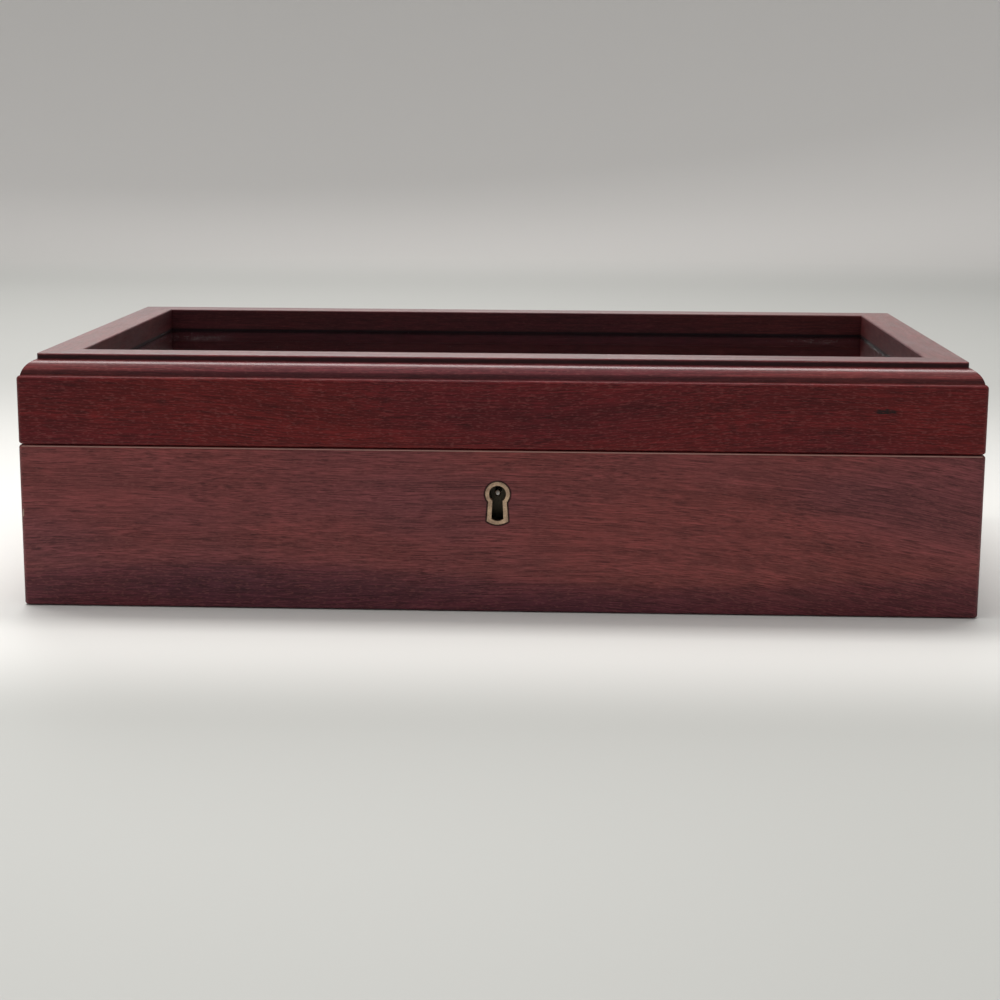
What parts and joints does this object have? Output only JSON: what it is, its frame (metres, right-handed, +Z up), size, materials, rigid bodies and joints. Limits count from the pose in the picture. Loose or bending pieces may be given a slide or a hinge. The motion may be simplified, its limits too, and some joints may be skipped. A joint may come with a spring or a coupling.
{
  "type": "pen storage box",
  "caption": "Mahogany pen box with a glass-topped hinged lid in a moulded frame, an inlaid brass keyhole ring, a lock and a lift-out grooved tray.",
  "frame": {"origin": "middle of the face that the box stands on, under its felt", "axes": "+X to the viewer's right along the front, +Y from the front to the hinges at the back, +Z up"},
  "size_m": [0.356, 0.2117, 0.0946],
  "materials": {
    "mahogany": "dark red stain under satin lacquer",
    "glass": "clear polished pane",
    "brass": "dull, lightly tarnished",
    "steel": "bright drawn wire and sheet",
    "felt": "dense wool baize",
    "flock": "short velvet flock"
  },
  "bodies": {
    "base": {"base_back_board": "mahogany", "base_bottom_panel": "mahogany", "base_felt": "felt", "base_front_board": "mahogany", "base_left_board": "mahogany", "base_right_board": "mahogany", "floor_felt": "flock", "hinge_base_screws": "brass", "hinge_left_base_leaf": "brass", "hinge_left_pin": "steel", "hinge_right_base_leaf": "brass", "hinge_right_pin": "steel", "keyhole_ring": "brass", "lining_back_board": "flock", "lining_front_board": "flock", "lining_left_board": "flock", "lining_right_board": "flock", "lock_cap": "brass", "lock_drill_pin": "steel", "lock_plate": "brass", "lock_plate_screws": "brass", "lock_rim_screws": "brass", "lock_spring": "steel", "lock_studs": "steel"},
    "lid": {"glazing_bead_back": "mahogany", "glazing_bead_front": "mahogany", "glazing_bead_left": "mahogany", "glazing_bead_right": "mahogany", "hinge_left_lid_leaf": "brass", "hinge_lid_screws": "brass", "hinge_right_lid_leaf": "brass", "lid_back_board": "mahogany", "lid_front_board": "mahogany", "lid_glass": "glass", "lid_left_board": "mahogany", "lid_right_board": "mahogany", "link_plate": "brass", "link_screws": "brass", "link_staples": "brass", "top_frame_back": "mahogany", "top_frame_front": "mahogany", "top_frame_left": "mahogany", "top_frame_right": "mahogany"},
    "lock_bolt": {"lock_bolt": "brass"},
    "pen_tray": {"pen_rest": "flock", "tray_back_rail": "mahogany", "tray_bottom": "mahogany", "tray_front_rail": "mahogany", "tray_left_rail": "mahogany", "tray_right_rail": "mahogany"}
  },
  "joints": [
    {"name": "lid_hinge", "type": "hinge", "parent": "base", "child": "lid", "pos_m": [0, 0.1053, 0.06125], "axis": [-1, 0, 0], "range_deg": [0, 95]},
    {"name": "bolt_throw", "type": "slide", "parent": "base", "child": "lock_bolt", "axis": [1, 0, 0], "range_m": [0, 0.004]},
    {"name": "tray_lift", "type": "slide", "parent": "base", "child": "pen_tray", "axis": [0, 0, 1], "range_m": [0, 0.018]}
  ]
}
